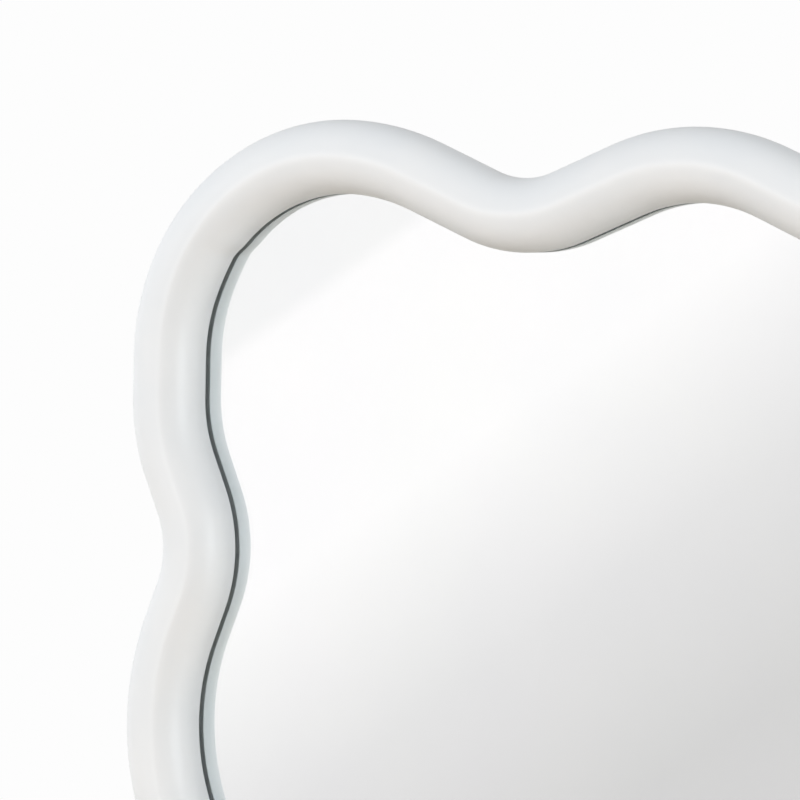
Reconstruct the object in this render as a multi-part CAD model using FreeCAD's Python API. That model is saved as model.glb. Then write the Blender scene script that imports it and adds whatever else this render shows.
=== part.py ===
import FreeCAD, Part
import math
import os
from FreeCAD import Vector

# Wall mirror with a thick round frame that runs in waves, millimetres.
# The mirror faces -Y, the wall is the plane y = 0, +Z is up.

# Overall size
overall_width = 610.0
overall_height = 914.0
frame_diameter = 35.0

# Waves of the frame's centre line
corner_radius = 97.5
corner_straight = 20.0
top_lobes = 1
side_lobes = 3
top_wave_depth = 25.4
side_wave_depth = 18.8
trough_radius = 60.0
top_corner_stretch = 1.05
side_corner_stretch = 0.89
top_flank = 33.0
side_flank = 18.0

# Glass, backing and rabbet, from the front to the back
lip_setback = 5.0
glass_thickness = 3.0
silver_thickness = 0.2
tape_thickness = 1.2
panel_thickness = 3.0
lip_overlap = 8.0
edge_clearance = 1.0
tape_width = 25.0
tape_margin = 70.0
tape_pitch = 165.0
tape_count = 3

# Mitre dowels
dowel_diameter = 8.0
dowel_length = 40.0
dowel_chamfer = 0.8
dowel_glue_gap = 0.05
dowel_end_room = 1.0
dowel_outset = 2.0
dowel_front_place = 8.0
dowel_back_place = 4.0

# Retainer tabs and their screws
tab_width = 14.0
tab_thickness = 1.2
tab_reach = 9.0
tab_screw_diameter = 3.0
tab_screw_length = 12.0
tab_head_diameter = 6.2
tab_head_height = 1.9

# Hangers: strap with a rolled eye, ring and screws
strap_width = 12.0
strap_thickness = 1.0
strap_end_round = 5.0
fillet_limit = 0.96
eye_lift = 0.3
eye_roll_degrees = 300.0
eye_ramp = 6.0
eye_clearance = 0.06
ring_wire = 2.6
ring_inside_width = 20.0
ring_leg = 3.0
ring_bend_radius = 3.5
hanger_screw_diameter = 3.5
hanger_screw_length = 14.0
hanger_head_diameter = 6.8
hanger_head_height = 2.2
hanger_screw_pitch = 13.0
hanger_screw_count = 2
strap_end_margin = 6.0
ring_to_screw_room = 0.8

# Screw fits and forms
hole_clearance = 0.3
pilot_clearance = 0.05
pilot_room = 1.0
head_rim_share = 0.4

# Wall bumpers
bumper_diameter = 12.7
bumper_tip_diameter = 10.6
bumper_height = 6.4
bumper_edge_round = 1.2

# Half sizes of the centre line and depths from the wall
frame_radius = frame_diameter / 2
half_width = overall_width / 2 - frame_radius
half_height = overall_height / 2 - frame_radius
back_setback = lip_setback + glass_thickness + silver_thickness + tape_thickness + panel_thickness
back_y = -bumper_height
centre_y = back_y - back_setback
glass_y = centre_y + lip_setback
silver_y = glass_y + glass_thickness
tape_y = silver_y + silver_thickness
panel_y = tape_y + tape_thickness

# Section of the frame, measured inward from the centre line
flat_half = math.sqrt(frame_radius**2 - back_setback**2)
glass_inset = frame_radius - lip_overlap
rabbet_inset = glass_inset - edge_clearance
land_middle = (rabbet_inset - flat_half) / 2


# A point beside a station of the path: inset is inward, the height above the wall is y.
def beside(x, z, heading, inset, y):
    return Vector(x - inset * math.sin(heading), y, z + inset * math.cos(heading))


# Half a wave from crest to trough: two tangent arcs with a straight flank between them.
def half_wave(length, depth, flank):
    radii = (length**2 + depth**2 - flank**2) / (2 * depth)
    turn = math.atan2(length, radii - depth) - math.atan2(flank, radii)
    return radii - trough_radius, turn


# The moves along one side, from corner to corner: size, signed turn and the name of where it starts.
def side_moves(run, lobes, depth, corner_stretch, flank):
    middle_length = run / (lobes + corner_stretch)
    corner = half_wave(corner_stretch * middle_length, depth, flank)
    middle = half_wave(middle_length, depth, flank)
    waves = [corner] + [middle] * (2 * lobes) + [corner]
    moves = []
    for number, (crest_radius, turn) in enumerate(waves):
        if number % 2 == 0:
            moves.append((crest_radius, turn, "crest" if number else "corner"))
            moves.append((flank, 0.0, "flank"))
            moves.append((trough_radius, -turn, "dip"))
        else:
            moves.append((trough_radius, -turn, "trough"))
            moves.append((flank, 0.0, "flank"))
            moves.append((crest_radius, turn, "rise"))
    return moves


# Stations along a chain of moves. A turn of zero is a straight, a positive turn bends to the left.
def walk(x, z, heading, moves):
    stations = []
    for size, turn, name in moves:
        stations.append((x, z, heading, size, turn, name))
        x, z, heading = along(x, z, heading, size, turn)
    return stations, (x, z, heading)


# Where a move of the given size and turn ends.
def along(x, z, heading, size, turn):
    if turn == 0:
        return x + size * math.cos(heading), z + size * math.sin(heading), heading
    radius = math.copysign(size, turn)
    centre_x = x - radius * math.sin(heading)
    centre_z = z + radius * math.cos(heading)
    heading += turn
    return centre_x + radius * math.sin(heading), centre_z - radius * math.cos(heading), heading


# A solid swept along stations: straights are extruded and bends are revolved, then joined.
def sweep(stations, section):
    lengths = []
    for x, z, heading, size, turn, name in stations:
        face = section(x, z, heading)
        if turn == 0:
            lengths.append(face.extrude(Vector(size * math.cos(heading), 0, size * math.sin(heading))))
        else:
            side = math.copysign(1, turn)
            middle = beside(x, z, heading, side * size, 0)
            lengths.append(face.revolve(middle, Vector(0, -side, 0), math.degrees(abs(turn))))
    return lengths[0].multiFuse(lengths[1:]).removeSplitter().Solids[0]


# The frame's section: a round rod with a straight inner flank, a flat back and a rabbet behind the lip.
def frame_section(x, z, heading):
    back_edge = beside(x, z, heading, -flat_half, back_y)
    front = beside(x, z, heading, 0, centre_y - frame_radius)
    flank = beside(x, z, heading, frame_radius, centre_y)
    lip = beside(x, z, heading, frame_radius, glass_y)
    seat = beside(x, z, heading, rabbet_inset, glass_y)
    land = beside(x, z, heading, rabbet_inset, back_y)
    edges = [Part.Arc(back_edge, front, flank).toShape()]
    corners = [flank, lip, seat, land, back_edge]
    for start, end in zip(corners, corners[1:]):
        edges.append(Part.makeLine(start, end))
    return Part.Face(Part.Wire(edges))


# A sheet with the frame's wavy outline, set in from the centre line.
def wavy_sheet(stations, inset, y, thickness):
    edges = []
    starts = [beside(x, z, heading, inset, y) for x, z, heading, size, turn, name in stations]
    for number, (x, z, heading, size, turn, name) in enumerate(stations):
        start = starts[number]
        end = starts[(number + 1) % len(starts)]
        if turn == 0:
            edges.append(Part.makeLine(start, end))
        else:
            half_way = along(x, z, heading, size, turn / 2)
            edges.append(Part.Arc(start, beside(*half_way, inset, y), end).toShape())
    return Part.Face(Part.Wire(edges)).extrude(Vector(0, thickness, 0))


# A round bar or hole between two points.
def rod(start, end, radius):
    return Part.makeCylinder(radius, (end - start).Length, start, end - start)


# A pan head screw driven forward from seat_y.
def screw(place, seat_y, diameter, length, head_diameter, head_height):
    shank = diameter / 2
    head = head_diameter / 2
    rim = head_height * head_rim_share
    rise = head_height - rim
    dome = (head**2 + rise**2) / (2 * rise)
    half_turn = math.asin(head / dome) / 2
    shoulder = Vector(dome * math.sin(half_turn), head_height - dome + dome * math.cos(half_turn), 0)
    edges = [Part.Arc(Vector(0, head_height, 0), shoulder, Vector(head, rim, 0)).toShape()]
    points = [
        Vector(head, rim, 0),
        Vector(head, 0, 0),
        Vector(shank, 0, 0),
        Vector(shank, diameter - length, 0),
        Vector(0, -length, 0),
        Vector(0, head_height, 0),
    ]
    for start, end in zip(points, points[1:]):
        edges.append(Part.makeLine(start, end))
    solid = Part.Face(Part.Wire(edges)).revolve(Vector(), Vector(0, 1, 0), 360)
    solid.translate(Vector(place.x, seat_y, place.z))
    return solid


# The pilot hole that a screw takes in the frame.
def pilot(place, seat_y, diameter, length):
    start = Vector(place.x, back_y, place.z)
    end = Vector(place.x, seat_y - length - pilot_room, place.z)
    return rod(start, end, diameter / 2 + pilot_clearance)


# A flat tab with round ends, screwed to the land and reaching inward over the panel.
def retainer_tab(x, z, heading):
    half = tab_width / 2
    inner = glass_inset + tab_reach - half
    corners = [(land_middle, -half), (inner, -half), (inner, half), (land_middle, half)]
    tips = {1: inner + half, 3: land_middle - half}
    sideways = Vector(math.cos(heading), 0, math.sin(heading))
    points = [beside(x, z, heading, inset, back_y) + sideways * shift for inset, shift in corners]
    edges = []
    for number, start in enumerate(points):
        end = points[(number + 1) % len(points)]
        if number in tips:
            edges.append(Part.Arc(start, beside(x, z, heading, tips[number], back_y), end).toShape())
        else:
            edges.append(Part.makeLine(start, end))
    plate = Part.Face(Part.Wire(edges)).extrude(Vector(0, tab_thickness, 0))
    hole_start = beside(x, z, heading, land_middle, back_y)
    hole_end = hole_start + Vector(0, tab_thickness, 0)
    return plate.cut(rod(hole_start, hole_end, tab_screw_diameter / 2 + hole_clearance))


# Hanger sizes that follow from the wire and the strap
wire_radius = ring_wire / 2
eye_inner = wire_radius + eye_clearance
eye_middle = eye_inner + strap_thickness / 2
eye_outer = eye_inner + strap_thickness
eye_height = eye_outer + eye_lift
ring_half_width = ring_inside_width / 2 + wire_radius
ring_drop = ring_bend_radius + ring_leg + ring_half_width
first_screw_drop = ring_drop + wire_radius + ring_to_screw_room + hanger_head_diameter / 2
strap_drop = first_screw_drop + hanger_screw_pitch * (hanger_screw_count - 1) + strap_end_margin


# The strap: a flat plate that rises a little and rolls round the ring's bar.
def hanger_strap(x, eye_z):
    reach = eye_height - strap_thickness / 2
    slope = math.acos(eye_middle / math.hypot(reach, eye_ramp)) - math.atan2(eye_ramp, reach)
    half = strap_thickness / 2

    def at(up, out):
        return Vector(x - strap_width / 2, back_y + out, eye_z + up)

    def on_eye(radius, turned):
        angle = slope - math.pi / 2 + turned
        return at(radius * math.cos(angle), eye_height + radius * math.sin(angle))

    roll = math.radians(eye_roll_degrees)
    knee = half * math.tan(slope / 2)
    under = [at(-strap_drop, 0), at(-eye_ramp + knee, 0), on_eye(eye_outer, 0)]
    over = [on_eye(eye_inner, 0), at(-eye_ramp - knee, strap_thickness), at(-strap_drop, strap_thickness)]
    edges = [Part.makeLine(start, end) for start, end in zip(under, under[1:])]
    edges.append(Part.Arc(under[-1], on_eye(eye_outer, roll / 2), on_eye(eye_outer, roll)).toShape())
    edges.append(Part.makeLine(on_eye(eye_outer, roll), on_eye(eye_inner, roll)))
    edges.append(Part.Arc(on_eye(eye_inner, roll), on_eye(eye_inner, roll / 2), over[0]).toShape())
    edges += [Part.makeLine(start, end) for start, end in zip(over, over[1:])]
    edges.append(Part.makeLine(over[-1], under[0]))
    strap = Part.Face(Part.Wire(edges)).extrude(Vector(strap_width, 0, 0))
    end_z = eye_z - strap_drop + strap_end_margin / 2
    low_edges = [edge for edge in strap.Edges if edge.BoundBox.ZMax < end_z]
    end_edges = [edge for edge in low_edges if edge.BoundBox.YLength > half]
    strap = strap.makeFillet(min(strap_end_round, fillet_limit * strap_width / 2), end_edges)
    for place in hanger_screw_places(x, eye_z):
        hole_end = place + Vector(0, strap_thickness, 0)
        strap = strap.cut(rod(place, hole_end, hanger_screw_diameter / 2 + hole_clearance))
    return strap


# Where a strap's screws enter the frame.
def hanger_screw_places(x, eye_z):
    places = []
    for number in range(hanger_screw_count):
        drop = first_screw_drop + number * hanger_screw_pitch
        places.append(Vector(x, back_y, eye_z - drop))
    return places


# The D ring: a bar in the eye, two short legs and a half round, of one bent wire.
def d_ring(x, eye_z):
    wire_y = back_y + eye_height

    def wire_section(at_x, at_z, heading):
        circle = Part.makeCircle(
            wire_radius, Vector(at_x, wire_y, at_z), Vector(math.cos(heading), 0, math.sin(heading))
        )
        return Part.Face(Part.Wire([circle]))

    bar = 2 * (ring_half_width - ring_bend_radius)
    moves = [
        (bar, 0.0, "bar"),
        (ring_bend_radius, -math.pi / 2, "bend"),
        (ring_leg, 0.0, "leg"),
        (ring_half_width, -math.pi, "bow"),
        (ring_leg, 0.0, "leg"),
        (ring_bend_radius, -math.pi / 2, "bend"),
    ]
    stations, end = walk(x - bar / 2, eye_z, 0.0, moves)
    return sweep(stations, wire_section)


# A rubber bumper that stands between the frame and the wall.
def wall_bumper(place):
    base = Vector(place.x, back_y, place.z)
    cone = Part.makeCone(
        bumper_diameter / 2, bumper_tip_diameter / 2, bumper_height, base, Vector(0, 1, 0)
    )
    tip_edges = [edge for edge in cone.Edges if edge.BoundBox.YMin > back_y + bumper_height / 2]
    return cone.makeFillet(bumper_edge_round, tip_edges)


# Path of the frame: four members, each from mitre to mitre, counter-clockwise from the upper right
top_run = half_width - corner_radius
side_run = half_height - corner_radius - corner_straight
half_corner = [(corner_radius, math.pi / 4, "mitre")]
straight = [(corner_straight, 0.0, "straight")]
across = side_moves(top_run, top_lobes, top_wave_depth, top_corner_stretch, top_flank)
upright = side_moves(side_run, side_lobes, side_wave_depth, side_corner_stretch, side_flank)
across = half_corner + across + half_corner
upright = half_corner + straight + upright + straight + half_corner

mitre_out = corner_radius * math.cos(math.pi / 4)
position = (
    half_width - corner_radius + mitre_out,
    half_height - corner_radius + mitre_out,
    0.75 * math.pi,
)
member_names = ["top_rail", "left_stile", "bottom_rail", "right_stile"]
corner_names = ["upper_right", "upper_left", "lower_left", "lower_right"]
member_moves = [across, upright, across, upright]
members = {}
corners = {}
for name, corner_name, moves in zip(member_names, corner_names, member_moves):
    corners[corner_name] = position
    members[name], position = walk(*position, moves)
loop = [station for name in member_names for station in members[name]]

nodes = {name: sweep(members[name], frame_section) for name in member_names}

# Dowels across the mitres, and their holes in both members
dowel_holes = []
for corner_name, (x, z, heading) in corners.items():
    direction = Vector(math.cos(heading), 0, math.sin(heading))
    dowels = []
    for depth in (-dowel_front_place, dowel_back_place):
        middle = beside(x, z, heading, -dowel_outset, centre_y + depth)
        reach = direction * (dowel_length / 2)
        dowel = rod(middle - reach, middle + reach, dowel_diameter / 2)
        round_edges = [edge for edge in dowel.Edges if edge.Closed]
        dowels.append(dowel.makeChamfer(dowel_chamfer, round_edges))
        reach = direction * (dowel_length / 2 + dowel_end_room)
        dowel_holes.append(rod(middle - reach, middle + reach, dowel_diameter / 2 + dowel_glue_gap))
    nodes[corner_name + "_dowels"] = Part.makeCompound(dowels)

# Glass, its silver coat and the panel share the wavy outline
nodes["mirror_glass"] = wavy_sheet(loop, glass_inset, glass_y, glass_thickness)
nodes["mirror_silvering"] = wavy_sheet(loop, glass_inset, silver_y, silver_thickness)
nodes["back_panel"] = wavy_sheet(loop, glass_inset, panel_y, panel_thickness)

# Foam strips that press the glass forward
tape_length = 2 * (half_height - tape_margin)
strips = []
for number in range(tape_count):
    strip_x = (number - (tape_count - 1) / 2) * tape_pitch - tape_width / 2
    corner = Vector(strip_x, tape_y, -tape_length / 2)
    strips.append(Part.makeBox(tape_width, tape_thickness, tape_length, corner))
nodes["foam_tape_strips"] = Part.makeCompound(strips)

# A retainer tab and its screw at each trough
tabs = []
tab_screws = []
pilots = []
for x, z, heading, size, turn, name in loop:
    if name == "trough":
        place = beside(x, z, heading, land_middle, back_y)
        seat_y = back_y + tab_thickness
        tabs.append(retainer_tab(x, z, heading))
        tab_screws.append(
            screw(place, seat_y, tab_screw_diameter, tab_screw_length, tab_head_diameter, tab_head_height)
        )
        pilots.append(pilot(place, seat_y, tab_screw_diameter, tab_screw_length))
nodes["retainer_tabs"] = Part.makeCompound(tabs)
nodes["tab_screws"] = Part.makeCompound(tab_screws)

# Hangers on the highest side lobe of each stile, with the strap's middle at the crest
for side in ("left", "right"):
    crests = [station for station in members[side + "_stile"] if station[5] == "crest"]
    x, z, heading = max(crests, key=lambda station: station[1])[:3]
    hanger_x = beside(x, z, heading, land_middle, back_y).x
    eye_z = z + (strap_drop - eye_outer) / 2
    seat_y = back_y + strap_thickness
    screws = []
    for place in hanger_screw_places(hanger_x, eye_z):
        screws.append(
            screw(
                place,
                seat_y,
                hanger_screw_diameter,
                hanger_screw_length,
                hanger_head_diameter,
                hanger_head_height,
            )
        )
        pilots.append(pilot(place, seat_y, hanger_screw_diameter, hanger_screw_length))
    nodes[side + "_hanger_strap"] = hanger_strap(hanger_x, eye_z)
    nodes[side + "_d_ring"] = d_ring(hanger_x, eye_z)
    nodes[side + "_hanger_screws"] = Part.makeCompound(screws)
    print(side, "ring axis", round(hanger_x, 3), round(back_y + eye_height, 3), round(eye_z, 3))

# Bumpers on the straights beside the corners
stile_ends = {"left_stile": ("upper_left", "lower_left"), "right_stile": ("lower_right", "upper_right")}
for stile, ends in stile_ends.items():
    straights = [station for station in members[stile] if station[5] == "straight"]
    for corner_name, (x, z, heading, size, turn, name) in zip(ends, straights):
        half_way = along(x, z, heading, size / 2, 0)
        place = beside(*half_way, land_middle, back_y)
        nodes[corner_name + "_bumper"] = wall_bumper(place)
        print(corner_name, "bumper", round(place.x, 3), round(place.z, 3))

# Holes in the frame members
for name in member_names:
    nodes[name] = nodes[name].cut(dowel_holes + pilots).Solids[0]

os.makedirs("parts", exist_ok=True)
for name, shape in nodes.items():
    shape.exportStep("parts/" + name + ".step")
    print(name, "solids", len(shape.Solids), "valid", shape.isValid(), "volume", round(shape.Volume, 1))
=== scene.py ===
import math

import bmesh
import bpy
from mathutils import Matrix, Vector, noise


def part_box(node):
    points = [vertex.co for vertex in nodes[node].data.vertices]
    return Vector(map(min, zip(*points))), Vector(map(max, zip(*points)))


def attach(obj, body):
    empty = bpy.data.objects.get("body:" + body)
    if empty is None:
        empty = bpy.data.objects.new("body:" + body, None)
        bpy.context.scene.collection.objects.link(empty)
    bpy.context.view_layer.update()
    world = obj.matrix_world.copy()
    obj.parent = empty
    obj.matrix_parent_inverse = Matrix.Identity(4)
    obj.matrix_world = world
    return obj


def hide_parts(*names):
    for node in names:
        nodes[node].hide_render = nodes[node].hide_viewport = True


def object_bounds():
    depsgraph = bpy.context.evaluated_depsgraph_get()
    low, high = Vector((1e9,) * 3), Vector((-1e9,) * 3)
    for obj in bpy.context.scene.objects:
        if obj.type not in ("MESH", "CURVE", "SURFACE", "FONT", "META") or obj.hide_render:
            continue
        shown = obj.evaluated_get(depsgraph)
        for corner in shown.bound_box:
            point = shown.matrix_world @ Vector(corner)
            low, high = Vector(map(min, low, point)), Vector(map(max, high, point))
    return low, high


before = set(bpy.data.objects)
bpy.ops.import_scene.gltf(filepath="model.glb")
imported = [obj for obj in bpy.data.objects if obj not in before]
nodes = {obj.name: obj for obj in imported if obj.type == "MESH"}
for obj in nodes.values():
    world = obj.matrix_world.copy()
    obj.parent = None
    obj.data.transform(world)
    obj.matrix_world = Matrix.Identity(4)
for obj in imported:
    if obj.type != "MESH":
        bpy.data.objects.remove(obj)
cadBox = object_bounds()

mm = 0.001  # lengths below are in millimetres, Blender works in metres
sharpDegrees = 35  # steeper edges than this stay sharp in the shading
print("frame loaded:", len(nodes), "nodes")


# sRGB hex to the linear colour that Blender wants
def hexColor(text):
    values = [int(text[i:i + 2], 16) / 255 for i in (1, 3, 5)]
    return (*[v / 12.92 if v <= 0.04045 else ((v + 0.055) / 1.055) ** 2.4 for v in values], 1.0)


# one node with its settings (sockets or properties) and the links into it
def addNode(tree, kind, settings=None, links=None):
    node = tree.nodes.new(kind)
    for name, value in (settings or {}).items():
        if name == "stops":
            ramp = node.color_ramp
            while len(ramp.elements) < len(value):
                ramp.elements.new(1.0)
            for element, (place, color) in zip(ramp.elements, value):
                element.position = place
                element.color = hexColor(color)
        elif hasattr(node, str(name)):
            setattr(node, name, value)
        else:
            node.inputs[name].default_value = value
    for name, source in (links or {}).items():
        tree.links.new(source, node.inputs[name])
    return node


def newMaterial(name):
    material = bpy.data.materials.new(name)
    material.use_nodes = True
    tree = material.node_tree
    tree.nodes.clear()
    place = addNode(tree, "ShaderNodeTexCoord")
    return material, tree, place.outputs["Object"]


def perMetre(patternMm):
    return 1 / (patternMm * mm)  # texture scale for a pattern of that size


def newPiece(name, mesh, material, body, replaced):
    for polygon in mesh.polygons:
        polygon.use_smooth = True
    mesh.set_sharp_from_angle(angle=math.radians(sharpDegrees))
    mesh.materials.append(material)
    piece = bpy.data.objects.new(name, mesh)
    bpy.context.scene.collection.objects.link(piece)
    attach(piece, body)
    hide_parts(replaced)


def meshFrom(name, vertices, faces):
    mesh = bpy.data.meshes.new(name)
    mesh.from_pydata(vertices, [], faces)
    mesh.validate()
    return mesh


def finishNode(nodeName, material):
    nodes[nodeName].material_slots[0].material = material


# white satin lacquer, sprayed over sanded wood and rubbed down: a soft sheen, a faint orange peel,
# slow patches where it was rubbed more, and a whiter line along the ridge that is a painted highlight
lacquerLook = {
    "patchTones": [(0.3, "#EDEEEE"), (0.7, "#F1F1F0")],
    "patchMm": 40.0,
    # the colour of the painted highlight along the ridge
    "ridge": "#F5F5F4",
    "roughness": {"rubbed": 0.40, "white": 0.33},
    "specular": 0.42,
    "peelMm": 1.8,
    "peelDepthMm": 0.1,
    "peelStrength": 0.06,
}


def makeLacquer():
    material, tree, place = newMaterial("whiteSatinLacquer")
    patch = addNode(
        tree,
        "ShaderNodeTexNoise",
        {"Scale": perMetre(lacquerLook["patchMm"]), "Detail": 3.0},
        {"Vector": place},
    )
    color = addNode(
        tree,
        "ShaderNodeValToRGB",
        {"stops": lacquerLook["patchTones"]},
        {"Fac": patch.outputs["Fac"]},
    )
    # the painted highlight along the ridge: there the colour is mixed towards a whiter tone
    ridge = addNode(tree, "ShaderNodeAttribute", {"attribute_name": "ridgeRub"})
    tone = addNode(
        tree,
        "ShaderNodeMix",
        {"data_type": "RGBA", 7: hexColor(lacquerLook["ridge"])},
        {0: ridge.outputs["Fac"], 6: color.outputs["Color"]},
    )
    sheen = addNode(
        tree,
        "ShaderNodeMapRange",
        {"To Min": lacquerLook["roughness"]["rubbed"], "To Max": lacquerLook["roughness"]["white"]},
        {"Value": patch.outputs["Fac"]},
    )
    peel = addNode(
        tree,
        "ShaderNodeTexNoise",
        {"Scale": perMetre(lacquerLook["peelMm"]), "Detail": 1.0},
        {"Vector": place},
    )
    bump = addNode(
        tree,
        "ShaderNodeBump",
        {"Strength": lacquerLook["peelStrength"], "Distance": lacquerLook["peelDepthMm"] * mm},
        {"Height": peel.outputs["Fac"]},
    )
    shader = addNode(
        tree,
        "ShaderNodeBsdfPrincipled",
        {"IOR": 1.5, "Specular IOR Level": lacquerLook["specular"]},
        {
            "Base Color": tone.outputs[2],
            "Roughness": sheen.outputs["Result"],
            "Normal": bump.outputs["Normal"],
        },
    )
    addNode(tree, "ShaderNodeOutputMaterial", {}, {"Surface": shader.outputs["BSDF"]})
    return material


# white primer, left bare in the rabbet: dull, and so little lit there that a dark line runs along the glass
primerLook = {
    "tones": [(0.3, "#F0F3F4"), (0.7, "#F7F9F9")],
    "roughness": 0.7,
    "grainMm": 0.8,
    "grainDepthMm": 0.1,
    "grainStrength": 0.2,
}


def makePrimer():
    material, tree, place = newMaterial("whitePrimer")
    grain = addNode(
        tree,
        "ShaderNodeTexNoise",
        {"Scale": perMetre(primerLook["grainMm"]), "Detail": 2.0},
        {"Vector": place},
    )
    color = addNode(
        tree, "ShaderNodeValToRGB", {"stops": primerLook["tones"]}, {"Fac": grain.outputs["Fac"]}
    )
    bump = addNode(
        tree,
        "ShaderNodeBump",
        {"Strength": primerLook["grainStrength"], "Distance": primerLook["grainDepthMm"] * mm},
        {"Height": grain.outputs["Fac"]},
    )
    shader = addNode(
        tree,
        "ShaderNodeBsdfPrincipled",
        {"Roughness": primerLook["roughness"], "IOR": 1.5},
        {"Base Color": color.outputs["Color"], "Normal": bump.outputs["Normal"]},
    )
    addNode(tree, "ShaderNodeOutputMaterial", {}, {"Surface": shader.outputs["BSDF"]})
    return material


# the frame: a round rod that runs in waves, flat at the back, with a rabbet for the glass
wavyFrame = {
    "width": 610.0,
    "height": 914.0,
    "thickness": 35.0,
    "standOff": 6.4,
    "cornerRadius": 97.5,
    "cornerStraight": 20.0,
    "troughRadius": 60.0,
    "top": {"lobes": 1, "depth": 25.4, "cornerStretch": 1.05, "flank": 33.0},
    "side": {"lobes": 3, "depth": 18.8, "cornerStretch": 0.89, "flank": 18.0},
    "lipSetback": 5.0,
    "backSetback": 12.4,
    "lipOverlap": 8.0,
    "edgeClearance": 1.0,
}
framePaint = {
    "stepMm": 3.0,
    "endStepMm": 0.2,
    "roundSteps": {"outer": 46, "inner": 36},
    "crowding": 1.5,
    "flankShares": (0.25, 0.5, 0.75),
    "lipRound": 0.22,
    "backRound": 1.6,
    "easedSteps": 5,
    "glassGap": 0.12,
    "ridgeMm": 0.95,
    "ridgeDegrees": {"rail": -1.0, "stile": 17.0},
    "ridgeSpread": 14.0,
    "ridgeSoft": 2.6,
    # how wide the painted highlight along the ridge is, and its strength on rails and on stiles
    "ridgeHighlightDegrees": 6.5,
    "ridgeHighlightShare": {"rail": 1.0, "stile": 0.45},
    "nickMm": 1.2,
    "nickFromMitre": (5.0, 14.0, 40.0),
    "sandingMm": 0.22,
    "sandingWaveMm": 55.0,
    "sandingFadePoints": 10,
}
rodRadius = wavyFrame["thickness"] / 2
halfWidth = wavyFrame["width"] / 2 - rodRadius
halfHeight = wavyFrame["height"] / 2 - rodRadius
backY = -wavyFrame["standOff"]
centreY = backY - wavyFrame["backSetback"]
glassY = centreY + wavyFrame["lipSetback"]
flatHalf = math.sqrt(rodRadius**2 - wavyFrame["backSetback"] ** 2)
glassInset = rodRadius - wavyFrame["lipOverlap"]
rabbetInset = glassInset - wavyFrame["edgeClearance"]
landMiddle = (rabbetInset - flatHalf) / 2


# half a wave from crest to trough: two tangent arcs with a straight flank between them
def halfWave(length, depth, flank):
    radii = (length**2 + depth**2 - flank**2) / (2 * depth)
    turn = math.atan2(length, radii - depth) - math.atan2(flank, radii)
    return radii - wavyFrame["troughRadius"], turn


# one side from corner to corner, as moves of (size, turn, name); a straight has no turn
def sideMoves(run, side):
    middleLength = run / (side["lobes"] + side["cornerStretch"])
    flank, trough = side["flank"], wavyFrame["troughRadius"]
    corner = halfWave(side["cornerStretch"] * middleLength, side["depth"], flank)
    middle = halfWave(middleLength, side["depth"], flank)
    moves = []
    for number, (crest, turn) in enumerate([corner] + [middle] * (2 * side["lobes"]) + [corner]):
        if number % 2 == 0:
            moves += [(crest, turn, "crest"), (flank, 0.0, "flank"), (trough, -turn, "dip")]
        else:
            moves += [(trough, -turn, "trough"), (flank, 0.0, "flank"), (crest, turn, "rise")]
    return moves


def memberMoves(member):
    mitre = [(wavyFrame["cornerRadius"], math.pi / 4, "mitre")]
    if member.endswith("rail"):
        return mitre + sideMoves(halfWidth - wavyFrame["cornerRadius"], wavyFrame["top"]) + mitre
    straight = [(wavyFrame["cornerStraight"], 0.0, "straight")]
    run = halfHeight - wavyFrame["cornerRadius"] - wavyFrame["cornerStraight"]
    return mitre + straight + sideMoves(run, wavyFrame["side"]) + straight + mitre


# where a share of one move ends, from a position (x, z, heading)
def moveOn(position, size, turn, share=1.0):
    x, z, heading = position
    if turn == 0:
        return x + share * size * math.cos(heading), z + share * size * math.sin(heading), heading
    radius = math.copysign(size, turn)
    end = heading + share * turn
    return (
        x + radius * (math.sin(end) - math.sin(heading)),
        z - radius * (math.cos(end) - math.cos(heading)),
        end,
    )


# positions about stepMm apart along the moves; the last one, where the next stretch starts, is apart
def samplePath(position, moves, stepMm):
    stations = []
    for size, turn, _ in moves:
        length = abs(size * turn) if turn else size
        count = max(1, round(length / stepMm))
        stations += [moveOn(position, size, turn, i / count) for i in range(count)]
        position = moveOn(position, size, turn)
    return stations, position


def besidePath(station, inset, y):
    x, z, heading = station
    return Vector((x - inset * math.sin(heading), y, z + inset * math.cos(heading))) * mm


# a small curve in place of a sharp corner of the section
def easedCorner(before, corner, after, size):
    start = corner + (before - corner).normalized() * size
    end = corner + (after - corner).normalized() * size
    steps = framePaint["easedSteps"]
    shares = [i / steps for i in range(steps + 1)]
    return [start * (1 - t) ** 2 + corner * 2 * t * (1 - t) + end * t**2 for t in shares]


# a value that goes smoothly from level stretches to upright ones
def byHeading(values, heading):
    rail, stile = values["rail"], values["stile"]
    return (rail + stile) / 2 + (rail - stile) / 2 * math.cos(2 * heading)


# the two sanding passes, from the outside and from the inside, meet in a soft ridge near the front;
# it lies further in on the upright stretches
def ridgeAngle(heading):
    return math.radians(270 + byHeading(framePaint["ridgeDegrees"], heading))


def ridgeOn(angle, heading):
    away = math.hypot(math.degrees(angle - ridgeAngle(heading)), framePaint["ridgeSoft"])
    return framePaint["ridgeMm"] * math.exp(-away / framePaint["ridgeSpread"])


# the stiles are rubbed back a little at the lip beside each mitre, which leaves a shallow nick there
def nickOn(heading):
    fromMitre = math.asin(abs(math.cos(2 * heading))) / 2 * wavyFrame["cornerRadius"]
    start, deepest, end = framePaint["nickFromMitre"]
    rise = min(max((fromMitre - start) / (deepest - start), 0), 1)
    fall = min(max((end - fromMitre) / (end - deepest), 0), 1)
    return framePaint["nickMm"] * rise * fall**2
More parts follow.
